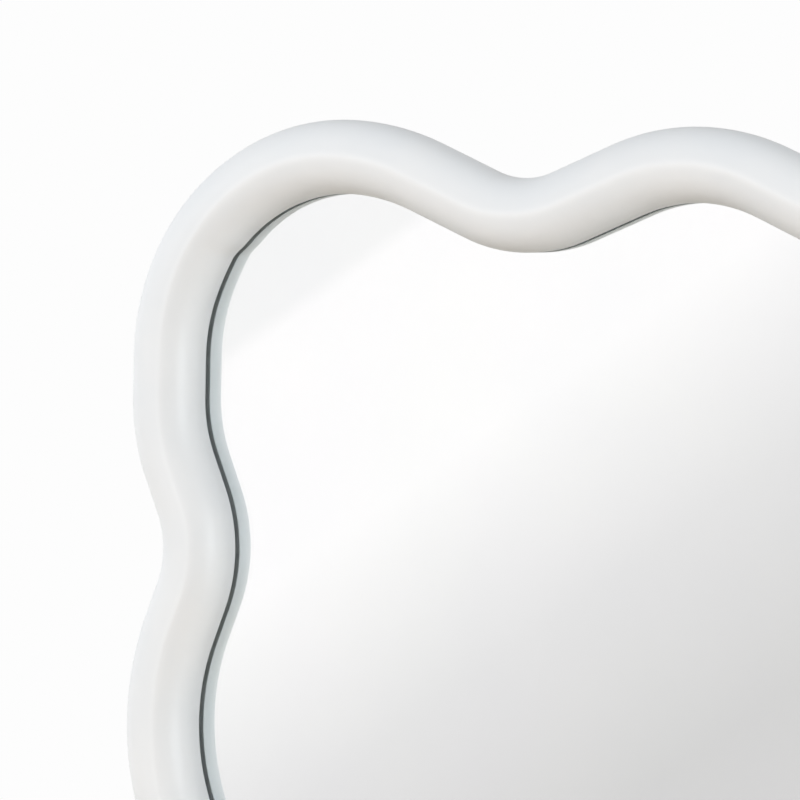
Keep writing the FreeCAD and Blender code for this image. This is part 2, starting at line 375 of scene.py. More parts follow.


# the section as (inset, depth) points: the painted face, the bare seat and rabbet,
# and for each point how much painted highlight the ridge gives it
def frameSection(heading, nick):
    seatY = glassY - framePaint["glassGap"]
    seat = Vector((rabbetInset, seatY))
    land = Vector((rabbetInset, backY))
    backEdge = Vector((-flatHalf, backY))
    lip = Vector((rodRadius - nick, seatY))
    first = math.atan2(backY - centreY, -flatHalf) + framePaint["backRound"] / rodRadius
    ridge = ridgeAngle(heading)
    outer, inner = framePaint["roundSteps"]["outer"], framePaint["roundSteps"]["inner"]
    # the points crowd towards the ridge, and one runs along its top
    crowding = framePaint["crowding"]
    angles = [ridge - (ridge - first) * (1 - i / outer) ** crowding for i in range(outer)]
    angles += [ridge + (2 * math.pi - ridge) * (i / inner) ** crowding for i in range(inner + 1)]
    highlightMost = byHeading(framePaint["ridgeHighlightShare"], heading)
    # the list built here holds the painted highlight of each point, strongest on the ridge
    face, rubAndHighlight = [], []
    for angle in angles:
        fromRidge = math.degrees(angle - ridge) / framePaint["ridgeHighlightDegrees"]
        rubAndHighlight.append(highlightMost * math.exp(-(fromRidge**2)))
        radius = rodRadius + ridgeOn(angle, heading) - nick * max(0, math.cos(angle)) ** 2
        face.append(Vector((radius * math.cos(angle), centreY + radius * math.sin(angle))))
    for share in framePaint["flankShares"]:
        face.append(Vector((lip.x, centreY + share * (seatY - centreY))))
    backCurve = easedCorner(land, backEdge, face[0], framePaint["backRound"])
    lipCurve = easedCorner(face[-1], lip, seat, framePaint["lipRound"])
    painted = backCurve[:-1] + face + lipCurve[1:]
    bare = [seat, land]
    # the painted highlight lies on the face only
    rubAndHighlight = [0.0] * (len(backCurve) - 1) + rubAndHighlight
    rubAndHighlight += [0.0] * (len(painted + bare) - len(rubAndHighlight))
    return painted, bare, rubAndHighlight


# sanding by hand leaves the rod a little uneven; it follows the place, so it agrees at the mitres
def sanded(point, station, share):
    away = (point - besidePath(station, 0, centreY)).normalized()
    uneven = noise.noise(point * perMetre(framePaint["sandingWaveMm"]))
    return point + away * uneven * share * framePaint["sandingMm"] * mm


def buildMember(member, position):
    moves = memberMoves(member)
    stations, end = samplePath(position, moves, framePaint["stepMm"])
    # a station close to each end keeps the shading even over the mitre
    nearStart = framePaint["endStepMm"] / (moves[0][0] * moves[0][1])
    stations.insert(1, moveOn(position, *moves[0][:2], nearStart))
    stations += [moveOn(end, *moves[-1][:2], -nearStart), end]
    fadePoints = framePaint["sandingFadePoints"]
    vertices, ridgeHighlights = [], []
    for station in stations:
        heading = station[2]
        nick = nickOn(heading) if member.endswith("stile") else 0
        painted, bare, rubAndHighlight = frameSection(heading, nick)
        ridgeHighlights += rubAndHighlight
        for k, (inset, y) in enumerate(painted + bare):
            share = min(1.0, k / fadePoints, max(0, len(painted) - 1 - k) / fadePoints)
            vertices.append(sanded(besidePath(station, inset, y), station, share))
    size = len(painted + bare)
    faces = []
    for i in range(len(stations) - 1):
        for k in range(size):
            a, b = i * size + k, i * size + (k + 1) % size
            faces.append((a, b, b + size, a + size))
    firstBare = len(painted) - 1
    bareFaces = [k for k in range(len(faces)) if firstBare <= k % size < size - 1]
    bareFaces += [len(faces), len(faces) + 1]  # the two mitre faces
    faces.append(tuple(range(size))[::-1])
    faces.append(tuple(range(len(vertices) - size, len(vertices))))
    mesh = meshFrom(member, vertices, faces)
    # the painted highlight along the ridge, kept on the mesh for the lacquer to read
    mesh.attributes.new("ridgeRub", "FLOAT", "POINT").data.foreach_set("value", ridgeHighlights)
    newPiece("painted_" + member, mesh, lacquer, "mirror", member)
    mesh.materials.append(primer)
    for k in bareFaces:
        mesh.polygons[k].material_index = 1
    return stations[:-1], end


lacquer = makeLacquer()
primer = makePrimer()
mitreOut = wavyFrame["cornerRadius"] * math.cos(math.pi / 4)
# the path runs round from the upper right mitre, along the top first
position = (
    halfWidth - wavyFrame["cornerRadius"] + mitreOut,
    halfHeight - wavyFrame["cornerRadius"] + mitreOut,
    0.75 * math.pi,
)
framePath = []
troughs = []
for member in ("top_rail", "left_stile", "bottom_rail", "right_stile"):
    moves = memberMoves(member)
    for number, (_, _, name) in enumerate(moves):
        if name == "trough":
            troughs.append(samplePath(position, moves[:number], framePaint["stepMm"])[1])
    stations, position = buildMember(member, position)
    framePath += stations
print("frame painted:", len(framePath), "stations,", len(troughs), "troughs")


# float glass, cut to the wave and its edges seamed: clear, with a little green from iron in its thickness
glassSheet = {
    "thickness": 3.0,
    "arris": 0.4,
    "intoSilver": 0.05,
    "tones": [(0.3, "#FBFDFC"), (0.7, "#FDFEFE")],
    "streakMm": 120.0,
}


def makeGlass():
    material, tree, place = newMaterial("floatGlass")
    streak = addNode(
        tree, "ShaderNodeTexNoise", {"Scale": perMetre(glassSheet["streakMm"])}, {"Vector": place}
    )
    tint = addNode(
        tree, "ShaderNodeValToRGB", {"stops": glassSheet["tones"]}, {"Fac": streak.outputs["Fac"]}
    )
    shader = addNode(
        tree,
        "ShaderNodeBsdfPrincipled",
        {"IOR": 1.52, "Roughness": 0.0, "Transmission Weight": 1.0},
        {"Base Color": tint.outputs["Color"]},
    )
    addNode(tree, "ShaderNodeOutputMaterial", {}, {"Surface": shader.outputs["BSDF"]})
    return material


# silver from a bath on the back of the glass, with backing paint behind it:
# it takes about an eighth of the light, most of it red, and is very faintly cloudy
silverLook = {"tones": [(0.3, "#EAEFF1"), (0.7, "#ECF1F2")], "cloudMm": 90.0}


def makeSilver():
    material, tree, place = newMaterial("silverCoat")
    cloud = addNode(
        tree, "ShaderNodeTexNoise", {"Scale": perMetre(silverLook["cloudMm"])}, {"Vector": place}
    )
    tint = addNode(
        tree, "ShaderNodeValToRGB", {"stops": silverLook["tones"]}, {"Fac": cloud.outputs["Fac"]}
    )
    shader = addNode(
        tree,
        "ShaderNodeBsdfPrincipled",
        {"Metallic": 1.0, "Roughness": 0.0},
        {"Base Color": tint.outputs["Color"]},
    )
    addNode(tree, "ShaderNodeOutputMaterial", {}, {"Surface": shader.outputs["BSDF"]})
    return material


# the back of the glass reaches just into the silver, so that the two touch without a film of air
def buildGlass():
    arris = glassSheet["arris"]
    rearY = glassY + glassSheet["thickness"] + glassSheet["intoSilver"]
    rings = [(arris, glassY), (0.0, glassY + arris), (0.0, rearY - arris), (arris, rearY)]
    count = len(framePath)
    vertices = [besidePath(station, glassInset + inset, y) for inset, y in rings for station in framePath]
    faces = []
    for ring in range(len(rings) - 1):
        for i in range(count):
            a, b = ring * count + i, ring * count + (i + 1) % count
            faces.append((a, a + count, b + count, b))
    faces.append(tuple(range(count)))
    faces.append(tuple(range((len(rings) - 1) * count, len(vertices)))[::-1])
    mesh = meshFrom("cut_glass", vertices, faces)
    newPiece("cut_glass", mesh, makeGlass(), "mirror", "mirror_glass")


buildGlass()
finishNode("mirror_silvering", makeSilver())
print("glass and silver finished")


# hardboard, pressed from wood fibre: brown, mottled, with short dark fibres lying every way
hardboardLook = {
    "tones": [(0.5, "#7A5A3A"), (0.68, "#94724D"), (0.9, "#A5845E")],
    "mottleMm": 14.0,
    "mottleShare": 0.45,
    "fibreMm": 1.6,
    "fibreDepthMm": 0.1,
    "fibreStrength": 0.25,
    "roughness": 0.62,
}


def makeHardboard():
    material, tree, place = newMaterial("hardboard")
    mottle = addNode(
        tree,
        "ShaderNodeTexNoise",
        {"Scale": perMetre(hardboardLook["mottleMm"]), "Detail": 6.0},
        {"Vector": place},
    )
    # fibres are finer than this, drawn coarser so that they show
    fibre = addNode(
        tree,
        "ShaderNodeTexNoise",
        {"Scale": perMetre(hardboardLook["fibreMm"]), "Detail": 4.0, "Roughness": 0.7, "Distortion": 2.5},
        {"Vector": place},
    )
    both = addNode(
        tree,
        "ShaderNodeMath",
        {"operation": "MULTIPLY_ADD", 1: hardboardLook["mottleShare"]},
        {0: mottle.outputs["Fac"], 2: fibre.outputs["Fac"]},
    )
    color = addNode(
        tree, "ShaderNodeValToRGB", {"stops": hardboardLook["tones"]}, {"Fac": both.outputs["Value"]}
    )
    bump = addNode(
        tree,
        "ShaderNodeBump",
        {"Strength": hardboardLook["fibreStrength"], "Distance": hardboardLook["fibreDepthMm"] * mm},
        {"Height": fibre.outputs["Fac"]},
    )
    shader = addNode(
        tree,
        "ShaderNodeBsdfPrincipled",
        {"Roughness": hardboardLook["roughness"], "IOR": 1.45},
        {"Base Color": color.outputs["Color"], "Normal": bump.outputs["Normal"]},
    )
    addNode(tree, "ShaderNodeOutputMaterial", {}, {"Surface": shader.outputs["BSDF"]})
    return material


# closed-cell foam tape, hidden behind the glass: pale grey with round cells
foamLook = {
    "tones": [(0.0, "#B9BBBD"), (0.6, "#D9DADB")],
    "cellMm": 0.9,
    "cellDepthMm": 0.2,
    "cellStrength": 0.5,
    "roughness": 0.85,
}


def makeFoam():
    material, tree, place = newMaterial("foamTape")
    cell = addNode(tree, "ShaderNodeTexVoronoi", {"Scale": perMetre(foamLook["cellMm"])}, {"Vector": place})
    color = addNode(
        tree, "ShaderNodeValToRGB", {"stops": foamLook["tones"]}, {"Fac": cell.outputs["Distance"]}
    )
    bump = addNode(
        tree,
        "ShaderNodeBump",
        {"Strength": foamLook["cellStrength"], "Distance": foamLook["cellDepthMm"] * mm},
        {"Height": cell.outputs["Distance"]},
    )
    shader = addNode(
        tree,
        "ShaderNodeBsdfPrincipled",
        {"Roughness": foamLook["roughness"]},
        {"Base Color": color.outputs["Color"], "Normal": bump.outputs["Normal"]},
    )
    addNode(tree, "ShaderNodeOutputMaterial", {}, {"Surface": shader.outputs["BSDF"]})
    return material


# beech dowels, turned and glued in the mitres: pinkish brown with short flecks
beechLook = {"tones": [(0.35, "#B98F66"), (0.65, "#D0AC84")], "fleckMm": 1.2, "roughness": 0.55}


def makeBeech():
    material, tree, place = newMaterial("beech")
    fleck = addNode(
        tree,
        "ShaderNodeTexNoise",
        {"Scale": perMetre(beechLook["fleckMm"]), "Detail": 5.0, "Distortion": 1.5},
        {"Vector": place},
    )
    color = addNode(
        tree, "ShaderNodeValToRGB", {"stops": beechLook["tones"]}, {"Fac": fleck.outputs["Fac"]}
    )
    shader = addNode(
        tree,
        "ShaderNodeBsdfPrincipled",
        {"Roughness": beechLook["roughness"]},
        {"Base Color": color.outputs["Color"]},
    )
    addNode(tree, "ShaderNodeOutputMaterial", {}, {"Surface": shader.outputs["BSDF"]})
    return material


# steel, pressed or bent and then zinc plated: bright, bluish, with cloudy patches and fine rubbing
zincLook = {
    "tones": [(0.35, "#BFC5CA"), (0.65, "#D5D7D8")],
    "cloudMm": 5.0,
    "roughness": {"blue": 0.24, "bright": 0.42},
    "rubMm": 0.4,
    "rubDepthMm": 0.05,
    "rubStrength": 0.1,
}


def makeZinc():
    material, tree, place = newMaterial("zincPlatedSteel")
    cloud = addNode(
        tree,
        "ShaderNodeTexNoise",
        {"Scale": perMetre(zincLook["cloudMm"]), "Detail": 4.0},
        {"Vector": place},
    )
    color = addNode(
        tree, "ShaderNodeValToRGB", {"stops": zincLook["tones"]}, {"Fac": cloud.outputs["Fac"]}
    )
    sheen = addNode(
        tree,
        "ShaderNodeMapRange",
        {"To Min": zincLook["roughness"]["blue"], "To Max": zincLook["roughness"]["bright"]},
        {"Value": cloud.outputs["Fac"]},
    )
    rubAndHighlight = addNode(
        tree,
        "ShaderNodeTexNoise",
        {"Scale": perMetre(zincLook["rubMm"]), "Detail": 2.0},
        {"Vector": place},
    )
    bump = addNode(
        tree,
        "ShaderNodeBump",
        {"Strength": zincLook["rubStrength"], "Distance": zincLook["rubDepthMm"] * mm},
        {"Height": rubAndHighlight.outputs["Fac"]},
    )
    shader = addNode(
        tree,
        "ShaderNodeBsdfPrincipled",
        {"Metallic": 1.0},
        {
            "Base Color": color.outputs["Color"],
            "Roughness": sheen.outputs["Result"],
            "Normal": bump.outputs["Normal"],
        },
    )
    addNode(tree, "ShaderNodeOutputMaterial", {}, {"Surface": shader.outputs["BSDF"]})
    return material


# black rubber, moulded: dull, with a fine sparked texture from the mould and a little dust
rubberLook = {
    "tones": [(0.4, "#1D1D1E"), (0.75, "#2B2B2C")],
    "dustMm": 4.0,
    "grainMm": 0.5,
    "grainDepthMm": 0.05,
    "grainStrength": 0.3,
    "roughness": 0.72,
}


def makeRubber():
    material, tree, place = newMaterial("mouldedRubber")
    dust = addNode(
        tree,
        "ShaderNodeTexNoise",
        {"Scale": perMetre(rubberLook["dustMm"]), "Detail": 4.0},
        {"Vector": place},
    )
    color = addNode(
        tree, "ShaderNodeValToRGB", {"stops": rubberLook["tones"]}, {"Fac": dust.outputs["Fac"]}
    )
    grain = addNode(
        tree, "ShaderNodeTexNoise", {"Scale": perMetre(rubberLook["grainMm"])}, {"Vector": place}
    )
    bump = addNode(
        tree,
        "ShaderNodeBump",
        {"Strength": rubberLook["grainStrength"], "Distance": rubberLook["grainDepthMm"] * mm},
        {"Height": grain.outputs["Fac"]},
    )
    shader = addNode(
        tree,
        "ShaderNodeBsdfPrincipled",
        {"Roughness": rubberLook["roughness"], "IOR": 1.5},
        {"Base Color": color.outputs["Color"], "Normal": bump.outputs["Normal"]},
    )
    addNode(tree, "ShaderNodeOutputMaterial", {}, {"Surface": shader.outputs["BSDF"]})
    return material


zinc = makeZinc()
finishNode("back_panel", makeHardboard())
finishNode("foam_tape_strips", makeFoam())
beech = makeBeech()
rubber = makeRubber()
for corner in ("upper_left", "upper_right", "lower_left", "lower_right"):
    finishNode(corner + "_dowels", beech)
    finishNode(corner + "_bumper", rubber)
print("panel, tape, dowels and bumpers finished")


# the mesh that a curve or an object with modifiers comes to, and the holder removed
def settledMesh(holder):
    bpy.context.scene.collection.objects.link(holder)
    depsgraph = bpy.context.evaluated_depsgraph_get()
    mesh = bpy.data.meshes.new_from_object(holder.evaluated_get(depsgraph))
    bpy.data.objects.remove(holder)
    return mesh


# copies of a mesh, one for each placing, joined into one mesh
def repeatedMesh(name, mesh, placings):
    joined = bmesh.new()
    for placing in placings:
        before = len(joined.verts)
        joined.from_mesh(mesh)
        joined.verts.ensure_lookup_table()
        bmesh.ops.transform(joined, matrix=placing, verts=joined.verts[before:])
    result = bpy.data.meshes.new(name)
    joined.to_mesh(result)
    joined.free()
    return result


# a placing on the back of the frame: x inward, y along the frame, z towards the wall
def backPlacing(station, inset, y):
    heading = station[2]
    inward = Vector((-math.sin(heading), 0, math.cos(heading)))
    along = Vector((math.cos(heading), 0, math.sin(heading)))
    placing = Matrix((inward, along, Vector((0, 1, 0)))).transposed().to_4x4()
    placing.translation = besidePath(station, inset, y)
    return placing


# retainer tabs: steel blanks with round ends and edges dulled by tumbling, one at each trough
retainerTab = {
    "width": 14.0,
    "thickness": 1.2,
    "reach": 9.0,
    "hole": 3.6,
    "easedEdge": 0.2,
    "easedSteps": 2,
    "stepMm": 0.6,
}


def buildTabMesh():
    half = retainerTab["width"] / 2
    eased = retainerTab["easedEdge"] * mm
    length = glassInset + retainerTab["reach"] - half - landMiddle
    blank = [(length, 0.0, "edge"), (half, math.pi, "end"), (length, 0.0, "edge"), (half, math.pi, "end")]
    hole = [(retainerTab["hole"] / 2, 2 * math.pi, "hole")]
    starts = [(0.0, -half, 0.0), (0.0, -retainerTab["hole"] / 2, 0.0)]
    curve = bpy.data.curves.new("tabBlank", "CURVE")
    curve.dimensions = "2D"
    curve.fill_mode = "BOTH"
    curve.bevel_resolution = retainerTab["easedSteps"]
    curve.bevel_depth = eased
    curve.offset = -eased
    curve.extrude = retainerTab["thickness"] / 2 * mm - eased
    for start, moves in zip(starts, (blank, hole)):
        outline = samplePath(start, moves, retainerTab["stepMm"])[0]
        spline = curve.splines.new("POLY")
        spline.points.add(len(outline) - 1)
        for point, (x, y, _) in zip(spline.points, outline):
            point.co = (x * mm, y * mm, 0, 1)
        spline.use_cyclic_u = True
    return settledMesh(bpy.data.objects.new("tabBlank", curve))


# pan head screws; they stop at different angles, given in radians from one to the next
tabScrew = {
    "diameter": 3.0,
    "length": 12.0,
    "head": 6.2,
    "headHeight": 1.9,
    "slotLength": 3.6,
    "slotWidth": 0.95,
    "firstTurn": 0.0,
    "nextTurn": 2.4,
}
hangerScrew = {
    "diameter": 3.5,
    "length": 14.0,
    "head": 6.8,
    "headHeight": 2.2,
    "slotLength": 4.0,
    "slotWidth": 1.05,
    "firstTurn": 0.7,
    "nextTurn": 1.9,
}
screwForm = {
    "segments": 24,
    "domeRings": 8,
    "rimShare": 0.4,
    "rimRoundShare": 0.15,
    "pitchShare": 0.42,
    "threadShare": 0.16,
    "threadNarrow": 2.2,
    "ringsPerTurn": 6,
    "tipShares": (0.35, 0.7),
    "slotDepthShare": 0.6,
    "slotFoot": 0.55,
    "slotTop": 1.25,
    "slotEven": 0.4,
    "slotAbove": 1.0,
}


# a screw along z, its seat at 0: a thread that climbs round the core, and a cross recess
def buildScrewMesh(screw):
    head = screw["head"] / 2
    rim = screw["headHeight"] * screwForm["rimShare"]
    rimRound = rim * screwForm["rimRoundShare"]
    rise = screw["headHeight"] - rim
    dome = (head**2 + rise**2) / (2 * rise)
    core = screw["diameter"] / 2
    pitch = screw["diameter"] * screwForm["pitchShare"]
    depth = screw["diameter"] * screwForm["threadShare"]
    segments = screwForm["segments"]
    rings = []
    for i in range(1, screwForm["domeRings"] + 1):
        angle = math.asin(head / dome) * i / screwForm["domeRings"]
        rings.append((dome * math.sin(angle), screw["headHeight"] - dome * (1 - math.cos(angle)), 0.0))
    rings += [(head, rimRound, 0.0), (head - rimRound, 0.0, 0.0), (core, 0.0, 0.0)]
    step = pitch / screwForm["ringsPerTurn"]
    count = int((screw["length"] - screw["diameter"]) / step)
    for i in range(1, count + 1):
        rings.append((core - depth, -i * step, depth))
    tipLength = screw["length"] - count * step
    for share in screwForm["tipShares"]:
        left = 1 - share
        rings.append(((core - depth) * left, -count * step - tipLength * share, depth * left))
    vertices = [Vector((0, 0, screw["headHeight"])) * mm]
    for radius, z, ridge in rings:
        for k in range(segments):
            climb = (k / segments + z / pitch) % 1.0
            around = radius + ridge * max(0.0, 1 - screwForm["threadNarrow"] * abs(2 * climb - 1))
            angle = 2 * math.pi * k / segments
            vertices.append(Vector((around * math.cos(angle), around * math.sin(angle), z)) * mm)
    vertices.append(Vector((0, 0, -screw["length"])) * mm)
    last = 1 + (len(rings) - 1) * segments
    faces = []
    for k in range(segments):
        n = (k + 1) % segments
        faces.append((0, 1 + k, 1 + n))
        for ring in range(len(rings) - 1):
            a, b = 1 + ring * segments + k, 1 + ring * segments + n
            faces.append((a, a + segments, b + segments, b))
        faces.append((last + k, len(vertices) - 1, last + n))
    holder = bpy.data.objects.new("panScrew", meshFrom("panScrew", vertices, faces))
    cutters = []
    for turned in (0, math.pi / 2):
        cutters.append(buildSlotCutter(screw, turned))
        cut = holder.modifiers.new("recess", "BOOLEAN")
        cut.operation = "DIFFERENCE"
        cut.solver = "EXACT"
        cut.object = cutters[-1]
    mesh = settledMesh(holder)
    for cutter in cutters:
        bpy.data.objects.remove(cutter)
    return mesh


# one bar of the cross recess, narrower at its foot
def buildSlotCutter(screw, turned):
    top = screw["headHeight"] + screwForm["slotAbove"]
    foot = screw["headHeight"] * (1 - screwForm["slotDepthShare"])
    even = screwForm["slotEven"]
    vertices = []
    for z, share in ((foot, screwForm["slotFoot"]), (top, screwForm["slotTop"])):
        x = screw["slotLength"] / 2 * share
        y = screw["slotWidth"] / 2 * (even + (1 - even) * share)
        for sx, sy in ((-1, -1), (1, -1), (1, 1), (-1, 1)):
            vertices.append(Matrix.Rotation(turned, 3, "Z") @ Vector((sx * x, sy * y, z)) * mm)
    faces = [(3, 2, 1, 0), (4, 5, 6, 7), (0, 1, 5, 4), (1, 2, 6, 5), (2, 3, 7, 6), (3, 0, 4, 7)]
    cutter = bpy.data.objects.new("slotCutter", meshFrom("slotCutter", vertices, faces))
    bpy.context.scene.collection.objects.link(cutter)
    return cutter


def screwPlacings(screw, stations, inset, y):
    placings = []
    for number, station in enumerate(stations):
        angle = screw["firstTurn"] + screw["nextTurn"] * number
        placings.append(backPlacing(station, inset, y) @ Matrix.Rotation(angle, 4, "Z"))
    return placings


tabY = backY + retainerTab["thickness"] / 2
tabPlacings = [backPlacing(station, landMiddle, tabY) for station in troughs]
tabs = repeatedMesh("retainer_tab_set", buildTabMesh(), tabPlacings)
newPiece("retainer_tab_set", tabs, zinc, "mirror", "retainer_tabs")
tabScrewPlacings = screwPlacings(tabScrew, troughs, landMiddle, backY + retainerTab["thickness"])
screws = repeatedMesh("tab_screw_set", buildScrewMesh(tabScrew), tabScrewPlacings)
newPiece("tab_screw_set", screws, zinc, "mirror", "tab_screws")
print("tabs and their screws built")


# hangers: a strap of steel strip rolled round the bar of a D ring, and two screws
hanger = {
    "strapWidth": 12.0,
    "strapThickness": 1.0,
    "strapDrop": 42.3,
    "strapColumns": 6,
    "endRound": 5.0,
    "easedEdge": 0.2,
    "easedSteps": 2,
    "easedFromDegrees": 50.0,
    "eyeLift": 0.3,
    "eyeClearance": 0.06,
    "eyeRoll": 300.0,
    "ramp": 6.0,
    "wire": 2.6,
    "wireSides": 24,
    "ringInside": 20.0,
    "ringLeg": 3.0,
    "ringBend": 3.5,
    "screwDrops": (23.3, 36.3),
    "stepMm": 0.7,
}


def buildStrap(side, eye):
    half = hanger["strapThickness"] / 2
    eyeMiddle = hanger["wire"] / 2 + hanger["eyeClearance"] + half
    rise = eyeMiddle + hanger["eyeLift"]
    slope = math.acos(eyeMiddle / math.hypot(rise, hanger["ramp"])) - math.atan2(hanger["ramp"], rise)
    ramp = math.sqrt(rise**2 + hanger["ramp"] ** 2 - eyeMiddle**2)
    flat = [(hanger["strapDrop"] - hanger["ramp"], 0.0, "flat")]
    rolled = [(ramp, 0.0, "ramp"), (eyeMiddle, math.radians(hanger["eyeRoll"]), "eye")]
    strip, knee = samplePath((-hanger["strapDrop"], half, 0.0), flat, hanger["stepMm"])
    bend, end = samplePath((knee[0], knee[1], slope), rolled, hanger["stepMm"])
    strip += bend + [end]
    columns = hanger["strapColumns"]
    vertices = []
    for up, out, heading in strip:
        # the lower end is rounded in the flat of the strip
        fromEnd = min(hanger["endRound"], up + hanger["strapDrop"]) if heading == 0 else hanger["endRound"]
        halfWide = hanger["strapWidth"] / 2 - hanger["endRound"]
        halfWide += math.sqrt(hanger["endRound"] ** 2 - (hanger["endRound"] - fromEnd) ** 2)
        for k in range(columns + 1):
            x = halfWide * (2 * k / columns - 1)
            vertices.append(Vector((eye.x + x * mm, (backY + out) * mm, eye.z + up * mm)))
    faces = []
    for i in range(len(strip) - 1):
        for k in range(columns):
            a = i * (columns + 1) + k
            faces.append((a, a + 1, a + columns + 2, a + columns + 1))
    holder = bpy.data.objects.new("strapStrip", meshFrom("strapStrip", vertices, faces))
    thick = holder.modifiers.new("thickness", "SOLIDIFY")
    thick.thickness = hanger["strapThickness"] * mm
    thick.offset = 0
    eased = holder.modifiers.new("easedEdges", "BEVEL")
    eased.width = hanger["easedEdge"] * mm
    eased.segments = hanger["easedSteps"]
    eased.limit_method = "ANGLE"
    eased.angle_limit = math.radians(hanger["easedFromDegrees"])
    newPiece(side + "_strap", settledMesh(holder), zinc, "mirror", side + "_hanger_strap")


def buildRing(side, eye):
    bow = (hanger["ringInside"] + hanger["wire"]) / 2
    bar = 2 * (bow - hanger["ringBend"])
    corner = (hanger["ringBend"], -math.pi / 2, "bend")
    leg = (hanger["ringLeg"], 0.0, "leg")
    moves = [(bar, 0.0, "bar"), corner, leg, (bow, -math.pi, "bow"), leg, corner]
    stations = samplePath((eye.x / mm - bar / 2, eye.z / mm, 0.0), moves, hanger["stepMm"])[0]
    radius, sides = hanger["wire"] / 2, hanger["wireSides"]
    vertices = []
    for station in stations:
        for k in range(sides):
            angle = 2 * math.pi * k / sides
            y = eye.y / mm + radius * math.sin(angle)
            vertices.append(besidePath(station, radius * math.cos(angle), y))
    faces = []
    for i in range(len(stations)):
        for k in range(sides):
            a, b = i * sides + k, i * sides + (k + 1) % sides
            c, d = (a + sides) % len(vertices), (b + sides) % len(vertices)
            faces.append((a, b, d, c))
    mesh = meshFrom(side + "_wire_ring", vertices, faces)
    newPiece(side + "_wire_ring", mesh, zinc, side + "_ring", side + "_d_ring")


hangerScrewMesh = buildScrewMesh(hangerScrew)
for side in ("left", "right"):
    lowest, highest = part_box(side + "_d_ring")
    eye = (lowest + highest) / 2
    eye.z = highest.z - hanger["wire"] / 2 * mm
    buildStrap(side, eye)
    buildRing(side, eye)
    stations = [(eye.x / mm, eye.z / mm - drop, 0.0) for drop in hanger["screwDrops"]]
    placings = screwPlacings(hangerScrew, stations, 0, backY + hanger["strapThickness"])
    pair = repeatedMesh(side + "_screw_pair", hangerScrewMesh, placings)
    newPiece(side + "_screw_pair", pair, zinc, "mirror", side + "_hanger_screws")
print("hangers built")


# camera at the photograph's angle: right of the mirror, almost level, with a long lens
photoView = {
    "azimuth": 30.69,
    "elevation": 2.32,
    "roll": 1.17,
    "distance": 3133.0,
    "aim": (-158.0, centreY, 325.2),
    "lensPixels": 6625.0,
    "framePixels": 800,
    "sensorMm": 36.0,
}


def makeCamera():
    azimuth, elevation, roll = [math.radians(photoView[name]) for name in ("azimuth", "elevation", "roll")]
    back = Vector((math.sin(azimuth), -math.cos(azimuth), math.tan(elevation))).normalized()
    level = Vector((math.cos(azimuth), math.sin(azimuth), 0))
    right = level * math.cos(roll) + back.cross(level) * math.sin(roll)
    up = back.cross(right)
    data = bpy.data.cameras.new("photoCamera")
    data.sensor_width = photoView["sensorMm"]
    data.lens = photoView["lensPixels"] / photoView["framePixels"] * photoView["sensorMm"]
    camera = bpy.data.objects.new("photoCamera", data)
    camera.matrix_world = Matrix((right, up, back)).transposed().to_4x4()
    camera.location = (Vector(photoView["aim"]) + back * photoView["distance"]) * mm
    bpy.context.scene.collection.objects.link(camera)
    bpy.context.scene.camera = camera
    return right, up, back


viewRight, viewUp, viewBack = makeCamera()
print("camera set")


# a surface of the studio that thins out to nothing between two distances from its middle
def fadeOut(tree, place, surface, fadeMm):
    start, end = fadeMm
    middle = addNode(tree, "ShaderNodeVectorMath", {"operation": "LENGTH"}, {0: place})
    fade = addNode(
        tree,
        "ShaderNodeMapRange",
        {"interpolation_type": "SMOOTHSTEP", "From Min": start * mm, "From Max": end * mm},
        {"Value": middle.outputs["Value"]},
    )
    clear = addNode(tree, "ShaderNodeBsdfTransparent")
    both = addNode(
        tree,
        "ShaderNodeMixShader",
        {},
        {"Fac": fade.outputs["Result"], 1: surface, 2: clear.outputs["BSDF"]},
    )
    addNode(tree, "ShaderNodeOutputMaterial", {}, {"Surface": both.outputs["Shader"]})


def stageSquare(name, sizeMm, material):
    half = sizeMm / 2 * mm
    corners = [(-half, -half, 0), (half, -half, 0), (half, half, 0), (-half, half, 0)]
    mesh = meshFrom(name, corners, [(0, 1, 2, 3)])
    mesh.materials.append(material)
    square = bpy.data.objects.new(name, mesh)
    bpy.context.scene.collection.objects.link(square)
    return square


# matt floor paint, rolled on and a little worn: warm, and it runs into the white without an edge
studioFloor = {
    "tones": [(0.3, "#E6D9C8"), (0.7, "#EBDFCF")],
    "grainMm": 60.0,
    "fadeMm": (1200.0, 3000.0),
    "sizeMm": 6000.0,
}


def makeFloor():
    material, tree, place = newMaterial("matFloorPaint")
    grain = addNode(
        tree, "ShaderNodeTexNoise", {"Scale": perMetre(studioFloor["grainMm"])}, {"Vector": place}
    )
    color = addNode(
        tree, "ShaderNodeValToRGB", {"stops": studioFloor["tones"]}, {"Fac": grain.outputs["Fac"]}
    )
    matt = addNode(tree, "ShaderNodeBsdfDiffuse", {}, {"Color": color.outputs["Color"]})
    fadeOut(tree, place, matt.outputs["BSDF"], studioFloor["fadeMm"])
    floor = stageSquare("studioFloor", studioFloor["sizeMm"], material)
    floor.location.z = cadBox[0][2]


# the camera sees plain white; glass and metal see a white room that dims to the right and behind,
# and matt surfaces get a lower, even light from it
whiteRoom = {
    "white": "#FDFDFD",
    "ambient": 0.35,
    "brightSide": (-0.64, -0.76, 0.1),
    "dim": 0.7,
    "fallOff": 0.7,
}


